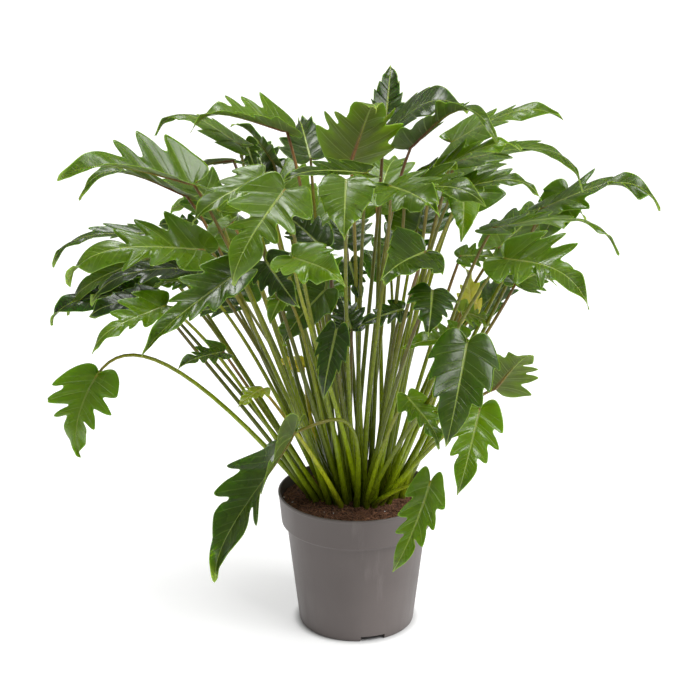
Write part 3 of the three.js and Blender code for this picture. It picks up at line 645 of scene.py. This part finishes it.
# ---- materials ----
class Paint:
    """A short way to write a material's nodes."""

    def __init__(self, name):
        self.material = bpy.data.materials.new(name)
        self.material.use_nodes = True
        self.nodes = self.material.node_tree.nodes
        self.links = self.material.node_tree.links
        self.shader = self.nodes["Principled BSDF"]

    def node(self, kind, inputs=(), **settings):
        node = self.nodes.new("ShaderNode" + kind)
        for key, value in settings.items():
            setattr(node, key, value)
        for key, value in dict(inputs).items():
            self.feed(node.inputs[key], value)
        return node

    def feed(self, socket, value):
        if isinstance(value, bpy.types.NodeSocket):
            self.links.new(value, socket)
        elif isinstance(value, tuple) and len(value) == 3 and socket.type == "RGBA":
            socket.default_value = (*value, 1)
        else:
            socket.default_value = value

    def value(self, name):
        return self.node("Attribute", attribute_name=name).outputs["Fac"]

    def math(self, operation, a, b=0.0, clamp=False):
        return self.node("Math", {0: a, 1: b}, operation=operation, use_clamp=clamp).outputs[0]

    def plus(self, a, b):
        return self.math("ADD", a, b)

    def times(self, a, b):
        return self.math("MULTIPLY", a, b)

    def ramp(self, value, low, high, to_low=0.0, to_high=1.0):
        """value from low to high becomes to_low to to_high, with soft ends."""
        inputs = {"Value": value, "From Min": low, "From Max": high, "To Min": to_low, "To Max": to_high}
        return self.node("MapRange", inputs, interpolation_type="SMOOTHSTEP").outputs[0]

    def mix(self, share, a, b):
        return self.node("Mix", {0: share, 6: a, 7: b}, data_type="RGBA").outputs[2]

    def shaded(self, colour, shade):
        return self.node("VectorMath", {0: colour, 1: shade}, operation="MULTIPLY").outputs[0]

    def place(self, stretch=(1, 1, 1)):
        coordinates = self.node("TexCoord").outputs["Object"]
        return self.node("Mapping", {"Vector": coordinates, "Scale": stretch}).outputs[0]

    def noise(self, scale, detail=2.0, place=None, roughness=0.5):
        inputs = {"Vector": place or self.place(), "Scale": scale, "Detail": detail, "Roughness": roughness}
        return self.node("TexNoise", inputs).outputs["Fac"]

    def bump(self, height, strength, distance, normal=None):
        inputs = {"Height": height, "Strength": strength, "Distance": distance}
        if normal:
            inputs["Normal"] = normal
        return self.node("Bump", inputs).outputs["Normal"]

    def finish(self, **inputs):
        for key, value in inputs.items():
            self.feed(self.shader.inputs[key.replace("_", " ")], value)
        return self.material


DARK_GREEN = (0.021, 0.044, 0.001)
FRESH_GREEN = (0.150, 0.265, 0.001)
UNDER_DARK = (0.050, 0.078, 0.008)
UNDER_FRESH = (0.215, 0.320, 0.004)
VEIN_GREEN = (0.215, 0.310, 0.045)
VEIN_PALE = (0.310, 0.400, 0.090)
MARGIN_GREEN = (0.250, 0.350, 0.045)
RIB_BROWN = (0.200, 0.075, 0.045)
YELLOW = (0.520, 0.430, 0.030)
STALK_GREEN = (0.200, 0.275, 0.003)
STALK_OLIVE = (0.165, 0.205, 0.003)
STALK_BROWN = (0.190, 0.080, 0.022)

# Main lateral veins lie where the vein's number is whole, with two fainter ones between: what is added to the
# number so that a vein lies at a half, from where to where it fades, and how strong it is
VEIN_LINES = [(0.5, 0.010, 0.040, 1.0), (0.78, 0.006, 0.024, 0.75), (0.15, 0.006, 0.024, 0.45)]
RIB_AT_SEAT = 0.0016
RIB_AT_TIP = 0.0005
PALE_EDGE = 0.0011
# how far in from the margin the painted light through the underside's edge reaches
THROUGH_LIGHT_BAND = 0.022
TONE_SHARE = 0.55
PATCH_SHARE = 0.5


def lateral_veins(p):
    """How strongly a lateral vein shows, from 0 to 1."""
    lines = []
    for shift, clear, gone, strength in VEIN_LINES:
        off = p.math("SUBTRACT", p.math("FRACT", p.plus(p.value("vein"), shift)), 0.5)
        lines.append(p.times(p.ramp(p.math("ABSOLUTE", off), clear, gone, 1.0, 0.0), strength))
    return p.math("MAXIMUM", p.math("MAXIMUM", lines[0], lines[1]), lines[2])


def blade_material():
    p = Paint("leaf_blade")
    under = p.value("under")
    along = p.value("along")
    to_margin = p.value("to_margin")
    patches = p.noise(14, 3)
    grain = p.noise(160, 3)
    bright = p.plus(p.times(p.value("tone"), TONE_SHARE), p.times(patches, PATCH_SHARE))
    bright = p.math("ADD", bright, 0.05, clamp=True)
    lateral = p.times(lateral_veins(p), p.ramp(to_margin, 0.0, 0.014, 0.1, 0.8))
    off_rib = p.math("DIVIDE", p.value("from_midrib"), p.ramp(along, 0.0, 1.0, RIB_AT_SEAT, RIB_AT_TIP))
    rib = p.ramp(off_rib, 0.6, 1.2, 1.0, 0.0)
    # veins show more clearly on a fresh leaf
    top = p.mix(bright, DARK_GREEN, FRESH_GREEN)
    top = p.mix(p.times(lateral, p.ramp(bright, 0.0, 0.8, 0.3, 0.75)), top, VEIN_GREEN)
    top = p.mix(p.times(rib, 0.7), top, VEIN_PALE)
    # painted light and shade: the underside is painted darker away from the thin edge, as light comes through
    # the edge more than through the middle
    bottom = p.mix(bright, UNDER_DARK, UNDER_FRESH)
    bottom = p.mix(p.ramp(to_margin, 0.002, THROUGH_LIGHT_BAND, 0.0, 0.55), bottom, UNDER_DARK)
    bottom = p.mix(p.times(lateral, 0.6), bottom, VEIN_PALE)
    rusty = p.times(p.ramp(along, 0.0, 0.75, 1.0, 0.2), p.value("ruddy"))
    rib_colour = p.mix(rusty, VEIN_GREEN, RIB_BROWN)
    bottom = p.mix(p.ramp(off_rib, 0.8, 2.2, 1.0, 0.0), bottom, rib_colour)
    colour = p.mix(under, top, bottom)
    colour = p.mix(p.ramp(to_margin, 0.0002, PALE_EDGE, 0.75, 0.0), colour, MARGIN_GREEN)
    colour = p.mix(p.times(p.ramp(along, 0.9, 1.0), 0.6), colour, MARGIN_GREEN)
    colour = p.mix(p.times(p.value("yellow"), p.ramp(patches, 0.2, 0.6, 0.55, 1.0)), colour, YELLOW)
    colour = p.shaded(colour, p.plus(0.82, p.times(grain, 0.36)))
    # the laterals lie in grooves above and stand out below
    sign = p.math("SUBTRACT", p.times(under, 2.0), 1.0)
    relief = p.times(p.plus(p.times(lateral, 0.7), rib), sign)
    normal = p.bump(p.noise(420, 3), 0.10, 0.0008)
    normal = p.bump(p.noise(90, 2), 0.20, 0.003, normal)
    normal = p.bump(relief, 0.55, 0.0012, normal)
    gloss = p.plus(p.ramp(p.noise(30, 2), 0.3, 0.7, 0.22, 0.34), p.times(under, 0.2))
    return p.finish(
        Base_Color=colour, Roughness=gloss, Normal=normal, IOR=1.42, Specular_IOR_Level=0.42,
        Subsurface_Weight=0.8, Subsurface_Radius=(0.7, 1.0, 0.1), Subsurface_Scale=0.0012,
    )


def petiole_material():
    p = Paint("petiole")
    along = p.value("along")
    streaks = p.noise(60, 3, p.place((9, 9, 0.6)))
    patches = p.noise(22, 2)
    upper = p.mix(p.value("ruddy"), STALK_OLIVE, STALK_BROWN)
    colour = p.mix(p.ramp(along, 0.05, 0.55), STALK_GREEN, STALK_OLIVE)
    colour = p.mix(p.ramp(p.plus(along, p.times(patches, 0.3)), 0.55, 1.15), colour, upper)
    colour = p.mix(p.ramp(along, 1.15, 1.7), colour, VEIN_GREEN)
    colour = p.mix(p.times(p.value("yellow"), 0.7), colour, YELLOW)
    # darker streaks, darker stalks of darker leaves, and painted shade that darkens the foot among the others
    shade = p.ramp(streaks, 0.25, 0.75, 0.68, 1.32)
    shade = p.times(shade, p.ramp(p.value("tone"), -1.0, 1.0, 0.55, 1.4))
    shade = p.times(shade, p.ramp(along, 0.0, 0.2, 0.55, 1.0))
    return p.finish(
        Base_Color=p.shaded(colour, shade), Roughness=p.ramp(patches, 0.3, 0.7, 0.2, 0.36),
        Normal=p.bump(streaks, 0.35, 0.0008), Specular_IOR_Level=0.4,
        Subsurface_Weight=0.08, Subsurface_Radius=(0.8, 1.0, 0.3), Subsurface_Scale=0.002,
    )


POT_TAUPE = (0.121, 0.101, 0.095)
POT_DARK = (0.099, 0.081, 0.076)
SCUFF_GREY = (0.30, 0.27, 0.26)
SPECK_GREY = (0.07, 0.06, 0.06)


def pot_material():
    p = Paint("pot_plastic")
    cloud = p.noise(9, 3)
    scuffs = p.noise(35, 5, p.place((1, 1, 0.12)), 0.7)
    specks = p.noise(900, 1)
    colour = p.mix(p.ramp(cloud, 0.3, 0.7), POT_DARK, POT_TAUPE)
    colour = p.mix(p.ramp(scuffs, 0.58, 0.8, 0.0, 0.22), colour, SCUFF_GREY)
    colour = p.mix(p.ramp(specks, 0.62, 0.72, 0.0, 0.2), colour, SPECK_GREY)
    normal = p.bump(p.noise(1300, 2), 0.12, 0.0004)
    normal = p.bump(cloud, 0.08, 0.004, normal)
    gloss = p.ramp(scuffs, 0.3, 0.75, 0.38, 0.55)
    return p.finish(Base_Color=colour, Roughness=gloss, Normal=normal)


# Dark and light colour, and how fine the clumps are
SOIL_LOOKS = {
    "soil_bed": ((0.030, 0.012, 0.007), (0.155, 0.062, 0.030), 260),
    "coir_fibres": ((0.060, 0.025, 0.013), (0.32, 0.150, 0.078), 300),
    "soil_crumbs": ((0.030, 0.014, 0.009), (0.17, 0.075, 0.038), 400),
    "perlite": ((0.45, 0.42, 0.38), (0.75, 0.73, 0.70), 500),
}


def soil_material(name):
    dark, light, scale = SOIL_LOOKS[name]
    p = Paint(name)
    clumps = p.noise(scale, 5, None, 0.7)
    colour = p.mix(p.ramp(clumps, 0.3, 0.7), dark, light)
    colour = p.mix(p.times(p.value("tone"), 0.8), colour, light)
    normal = p.bump(p.noise(700, 4), 0.7, 0.002)
    return p.finish(Base_Color=colour, Roughness=0.95, Normal=normal)


# ---- pot ----
POT_SEGMENTS = 128
ROUND_STEPS = 3
DRAIN_SIDES = 24
SHARP_ANGLE = 35
AXIS_HOLE = 0.0005


def turned(name, profile):
    """A closed profile of radius and height, turned round the vertical axis."""
    points = []
    for k in range(POT_SEGMENTS):
        angle = 2 * math.pi * k / POT_SEGMENTS
        points += [(*polar(r, angle), z) for r, z in profile]
    count = len(profile)
    faces = []
    for k in range(POT_SEGMENTS):
        a, b = k * count, (k + 1) % POT_SEGMENTS * count
        for i in range(count - 1):
            faces.append((a + i, b + i, b + i + 1, a + i + 1))
    mesh = bpy.data.meshes.new(name)
    mesh.from_pydata(points, [], faces)
    return mesh


def wall_radius(height):
    return WALL_FOOT_RADIUS + (WALL_TOP_RADIUS - WALL_FOOT_RADIUS) * height / STEP_HEIGHT


def rounded(corner, before, after, radius):
    """Points of a small round at a corner of a profile."""
    corner = np.array(corner)
    start = corner + radius * unit(np.array(before) - corner)
    end = corner + radius * unit(np.array(after) - corner)
    shares = np.linspace(0, 1, ROUND_STEPS + 1)
    return [tuple((1 - u)**2 * start + 2 * (1 - u) * u * corner + u**2 * end) for u in shares]


def pot_profile():
    """From the base's underside out, up the wall, over the rim and down inside to the base's top."""
    # each corner's radius and height, and how far it is rounded
    corners = [
        (AXIS_HOLE, BASE_LIFT, 0),
        (WALL_FOOT_RADIUS - FOOT_WIDTH - FOOT_SLOPE, BASE_LIFT, 0.002),
        (WALL_FOOT_RADIUS - FOOT_WIDTH, 0.0, 0.0008),
        (WALL_FOOT_RADIUS - 0.0002, 0.0, 0.003),
        (WALL_TOP_RADIUS, STEP_HEIGHT - 0.0022, 0.003),
        (COLLAR_LOWER_RADIUS - 0.0005, STEP_HEIGHT, 0.0015),
        (POT_RIM_RADIUS - 0.0008, POT_HEIGHT - 0.0040, 0.0006),
        (POT_RIM_RADIUS - 0.0001, POT_HEIGHT - 0.0034, 0.0005),
        (POT_RIM_RADIUS - 0.0001, POT_HEIGHT - 0.0002, 0.0010),
        (POT_RIM_RADIUS - POT_WALL - 0.0009, POT_HEIGHT - 0.0002, 0.0009),
        (COLLAR_LOWER_RADIUS - POT_WALL - 0.0006, STEP_HEIGHT + 0.003, 0.001),
        (WALL_TOP_RADIUS - POT_WALL, STEP_HEIGHT - 0.003, 0.001),
        (wall_radius(BASE_TOP) - POT_WALL, BASE_TOP, 0.002),
        (AXIS_HOLE, BASE_TOP, 0),
    ]
    points = []
    for i, (r, z, radius) in enumerate(corners):
        if radius:
            points += rounded((r, z), corners[i - 1][:2], corners[i + 1][:2], radius)
        else:
            points.append((r, z))
    return points


def cut_away(piece, cutter):
    """Cuts the cutter's shape out of the piece, and removes the cutter."""
    modifier = piece.modifiers.new("cut", "BOOLEAN")
    modifier.operation = "DIFFERENCE"
    modifier.solver = "EXACT"
    modifier.object = cutter
    bpy.context.view_layer.update()
    evaluated = piece.evaluated_get(bpy.context.evaluated_depsgraph_get())
    cut = bpy.data.meshes.new_from_object(evaluated)
    piece.modifiers.clear()
    old = piece.data
    piece.data = cut
    bpy.data.meshes.remove(old)
    bpy.data.objects.remove(cutter)


def make_pot():
    pot = stand("pot_shell", turned("pot_shell", pot_profile()))
    close_axis(pot.data)
    for i in range(NOTCH_COUNT):
        bpy.ops.mesh.primitive_cube_add(size=1)
        notch = bpy.context.object
        angle = math.radians(NOTCH_BEARING + 360 * i / NOTCH_COUNT)
        notch.scale = (NOTCH_DEPTH, NOTCH_WIDTH, 2 * NOTCH_HEIGHT)
        notch.rotation_euler = (0, 0, angle)
        notch.location = (*polar(WALL_FOOT_RADIUS, angle), 0)
        cut_away(pot, notch)
    for i in range(DRAIN_COUNT):
        angle = 2 * math.pi * i / DRAIN_COUNT
        bpy.ops.mesh.primitive_cylinder_add(radius=DRAIN_RADIUS, depth=2 * BASE_TOP, vertices=DRAIN_SIDES)
        drain = bpy.context.object
        drain.location = (*polar(DRAIN_CIRCLE, angle), BASE_LIFT)
        cut_away(pot, drain)
    pot.data.materials.clear()
    pot.data.materials.append(pot_material())
    pot.data.polygons.foreach_set("use_smooth", [True] * len(pot.data.polygons))
    pot.data.set_sharp_from_angle(angle=math.radians(SHARP_ANGLE))
    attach(pot, "root")
    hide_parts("pot")


def close_axis(mesh):
    """Joins the profile's two ends near the axis into the centres of the base's two faces."""
    work = bmesh.new()
    work.from_mesh(mesh)
    for height in (BASE_LIFT, BASE_TOP):
        inner = [v for v in work.verts if math.hypot(v.co.x, v.co.y) < 2 * AXIS_HOLE]
        middle = [v for v in inner if abs(v.co.z - height) < POT_WALL / 2]
        bmesh.ops.pointmerge(work, verts=middle, merge_co=(0, 0, height))
    bmesh.ops.recalc_face_normals(work, faces=work.faces)
    work.to_mesh(mesh)
    work.free()


# ---- soil ----
SOIL_RINGS = 56
SOIL_SPOKES = 180
SOIL_SINK = 0.001
SOIL_SEED = 7
COARSE_LUMP = 0.0016
MIDDLING_LUMP = 0.0010
FINE_LUMP = 0.0006
SKIRT_ROOM = 0.004
FIBRE_COUNT = 1500
FIBRE_SPREAD = 0.93
FIBRE_TURN = 0.5
FIBRE_LENGTH = (0.004, 0.017)
FIBRE_LIFT = 0.0022
FIBRE_RADIUS = (0.00018, 0.00042)
FIBRE_TAPER = np.array([0.5, 1, 1, 1, 1, 0.4])
FIBRE_SIDES = 3
FIBRE_REACH = 0.99
GRAIN_SPREAD = 0.975
GRAIN_CORNER = (0.45, 0.8)
# How many grains, their size, how far they stand up as a share of it, and how light they can be
GRAINS = {
    "soil_crumbs": {"count": 900, "size": (0.0005, 0.0019), "rise": 0.3, "tone": 0.6},
    "perlite": {"count": 34, "size": (0.0006, 0.0013), "rise": 0.5, "tone": 0},
}


def soil_height(x, y):
    """The mound and its lumps, at a place on the soil."""
    reach = math.hypot(x, y) / POT_RIM_RADIUS
    coarse = math.sin(61 * x + 1.3) * math.sin(57 * y + 0.4)
    middling = math.sin(173 * x + 2.1 + 3 * math.sin(90 * y)) * math.sin(151 * y + 1.7)
    fine = math.sin(431 * x + 5 * math.sin(210 * y)) * math.sin(389 * y + 4 * math.sin(190 * x))
    lumps = COARSE_LUMP * coarse + MIDDLING_LUMP * middling + FINE_LUMP * fine
    return SOIL_TOP - SOIL_SINK - SOIL_MOUND * reach**2 + lumps


def make_soil(random):
    ground = Surface()
    rings = [(SOIL_RADIUS * (i + 1) / SOIL_RINGS, None) for i in range(SOIL_RINGS)]
    rings += [
        (COLLAR_LOWER_RADIUS - POT_WALL - SOIL_FIT, STEP_HEIGHT + SKIRT_ROOM),
        (WALL_TOP_RADIUS - POT_WALL - SOIL_FIT, STEP_HEIGHT - SKIRT_ROOM),
        (wall_radius(BASE_TOP) - POT_WALL - SOIL_FIT, BASE_TOP + SOIL_FIT),
    ]
    points = [(0, 0, soil_height(0, 0))]
    for radius, z in rings:
        for k in range(SOIL_SPOKES):
            x, y = polar(radius, 2 * math.pi * k / SOIL_SPOKES)
            points.append((x, y, soil_height(x, y) if z is None else z))
    last = len(points) - SOIL_SPOKES
    points.append((0, 0, BASE_TOP + SOIL_FIT))
    faces = [(0, 1 + k, 1 + (k + 1) % SOIL_SPOKES) for k in range(SOIL_SPOKES)]
    for ring in range(len(rings) - 1):
        for k in range(SOIL_SPOKES):
            a = 1 + ring * SOIL_SPOKES + k
            b = 1 + ring * SOIL_SPOKES + (k + 1) % SOIL_SPOKES
            faces.append((a, a + SOIL_SPOKES, b + SOIL_SPOKES, b))
    faces += [(last + k, len(points) - 1, last + (k + 1) % SOIL_SPOKES) for k in range(SOIL_SPOKES)]
    ground.add(np.array(points), faces)
    soil = ground.build("soil_bed", [soil_material("soil_bed")])
    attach(soil, "root")
    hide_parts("soil")
    for piece in [make_fibres(random), *(make_grains(random, name) for name in GRAINS)]:
        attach(piece, "root")


def spot(random, reach):
    """A random place on the soil, within a share of its radius."""
    angle = random.uniform(0, 2 * math.pi)
    return polar(SOIL_RADIUS * reach * math.sqrt(random.uniform(0, 1)), angle)


def make_fibres(random):
    """Coir fibres that lie across the soil."""
    fibres = Surface()
    for _ in range(FIBRE_COUNT):
        middle = np.array(spot(random, FIBRE_SPREAD))
        heading = random.uniform(0, 2 * math.pi)
        turn = random.normal(0, FIBRE_TURN)
        length = random.uniform(*FIBRE_LENGTH)
        lift = random.uniform(0.0, FIBRE_LIFT)
        centres = []
        for u in np.linspace(-0.5, 0.5, len(FIBRE_TAPER)):
            place = middle + polar(length * u, heading + turn * u)
            place *= min(1, SOIL_RADIUS * FIBRE_REACH / max(math.hypot(*place), TINY))
            centres.append((*place, soil_height(*place) + lift * (1 - 3 * u * u)))
        radii = random.uniform(*FIBRE_RADIUS) * FIBRE_TAPER
        points, faces = tube(np.array(centres), radii, FIBRE_SIDES)
        fibres.add(points, faces, tone=random.uniform(0, 1))
    return fibres.build("coir_fibres", [soil_material("coir_fibres")])


def lump(random, centre, size):
    """An uneven grain with eight corners pushed in and out."""
    corners = []
    for sx in (-1, 1):
        for sy in (-1, 1):
            for sz in (-1, 1):
                corners.append(np.array([sx, sy, sz]) * random.uniform(*GRAIN_CORNER, 3))
    points = np.array(corners) * size + centre
    faces = [(0, 1, 3, 2), (4, 6, 7, 5), (0, 4, 5, 1), (2, 3, 7, 6), (0, 2, 6, 4), (1, 5, 7, 3)]
    return points, faces


def make_grains(random, name):
    """Crumbs of peat, or pale grains, that lie on the soil."""
    kind = GRAINS[name]
    grains = Surface()
    for _ in range(kind["count"]):
        x, y = spot(random, GRAIN_SPREAD)
        size = random.uniform(*kind["size"])
        points, faces = lump(random, (x, y, soil_height(x, y) + kind["rise"] * size), size)
        tone = random.uniform(0, kind["tone"]) if kind["tone"] else 0
        grains.add(points, faces, tone=tone)
    return grains.build(name, [soil_material(name)])


# ---- the plant ----
# How far leaves differ beyond what the table says
TRAIT_SCATTER = {"tone": 0.25, "ruddy": 0.45, "fold": 0.06, "droop": 0.2}
DEPTH_SCATTER = 0.2


def make_fronds():
    leaves = [*LEAVES, *back_leaves()]
    for number, traits in enumerate(leaves):
        traits["number"] = number
    roots = root_places(leaves)
    materials = [blade_material(), petiole_material()]
    surfaces = []
    for number, traits in enumerate(leaves):
        if not traits["twin"]:
            surfaces.append(Surface())
        for name, amount in TRAIT_SCATTER.items():
            traits[name] += amount * vary(number, name)
        traits["ruddy"] = min(1, max(0, traits["ruddy"]))
        traits["cut"] *= 1 + DEPTH_SCATTER * vary(number, "cut")
        blade = Blade(traits)
        add_blade(surfaces[-1], blade, number)
        add_petiole(surfaces[-1], blade, roots[len(surfaces) - 1])
    for i, surface in enumerate(surfaces):
        frond = surface.build(f"frond_{i + 1:02d}", materials)
        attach(frond, "root")
        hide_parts(f"leaf_{i + 1:02d}")


# ---- camera, floor and light ----
CAMERA_PLACE = (-0.0079, -2.20975, 1.1265)
CAMERA_TILT = 70.6
CAMERA_ANGLE = 20.0
WORLD_LIGHT = 0.34
KEY_LIGHT = 3.25
KEY_WIDTH = 34
KEY_FROM = (1.2, -0.8, 1.75)
TOP_PLACE = (-0.35, 0.45, 1.9)
TOP_TARGET = (0, 0, 0.5)
TOP_SIZE = (0.7, 0.5)
TOP_POWER = 17
FLOOR_REACH = 30
FLOOR_GREY = (0.60, 0.60, 0.60)
FLOOR_GLOW = 0.52
# radii where the painted shadow under the pot is full and where it fades out
PAINTED_SHADOW_CORE = 0.066
PAINTED_SHADOW_EDGE = 0.082
WHITE = (1.0, 1.0, 1.0)


def make_camera():
    camera = bpy.data.cameras.new("camera")
    camera.lens_unit = "FOV"
    camera.angle = math.radians(CAMERA_ANGLE)
    holder = stand("camera", camera)
    holder.location = CAMERA_PLACE
    holder.rotation_euler = (math.radians(CAMERA_TILT), 0, 0)
    bpy.context.scene.camera = holder


def make_floor():
    corners = [(x * FLOOR_REACH, y * FLOOR_REACH, 0) for x, y in ((-1, -1), (1, -1), (1, 1), (-1, 1))]
    mesh = bpy.data.meshes.new("floor")
    mesh.from_pydata(corners, [], [(0, 1, 2, 3)])
    p = Paint("floor")
    # the floor glows but for the ground under the pot, a painted shadow that lies in the foot's notches
    reach = p.node("VectorMath", {0: p.place()}, operation="LENGTH").outputs["Value"]
    glow = p.ramp(reach, PAINTED_SHADOW_CORE, PAINTED_SHADOW_EDGE, 0.0, FLOOR_GLOW)
    mesh.materials.append(p.finish(
        Base_Color=FLOOR_GREY, Roughness=0.8, Emission_Color=WHITE, Emission_Strength=glow,
    ))
    stand("floor", mesh)


def shine(light, place, target):
    """Puts a light in the scene, aimed from its place at a target."""
    holder = stand(light.name, light)
    holder.location = place
    holder.rotation_euler = (Vector(target) - Vector(place)).to_track_quat("-Z", "Y").to_euler()


def make_light():
    """A wide soft key from above the right, an overhead softbox, and a studio that is white to the eye."""
    world = bpy.data.worlds.new("studio")
    world.use_nodes = True
    nodes, links = world.node_tree.nodes, world.node_tree.links
    background = nodes["Background"]
    background.inputs["Color"].default_value = (*WHITE, 1)
    strength = nodes.new("ShaderNodeMapRange")
    strength.inputs["To Min"].default_value = WORLD_LIGHT
    strength.inputs["To Max"].default_value = 1.0
    links.new(nodes.new("ShaderNodeLightPath").outputs["Is Camera Ray"], strength.inputs["Value"])
    links.new(strength.outputs[0], background.inputs["Strength"])
    bpy.context.scene.world = world
    key = bpy.data.lights.new("key", "SUN")
    key.energy = KEY_LIGHT
    key.angle = math.radians(KEY_WIDTH)
    shine(key, KEY_FROM, (0, 0, 0))
    top = bpy.data.lights.new("top", "AREA")
    top.shape = "RECTANGLE"
    top.size, top.size_y = TOP_SIZE
    top.energy = TOP_POWER
    shine(top, TOP_PLACE, TOP_TARGET)
    bpy.context.scene.view_settings.view_transform = "Standard"


make_camera()
make_floor()
make_light()
make_pot()
make_soil(np.random.default_rng(SOIL_SEED))
make_fronds()
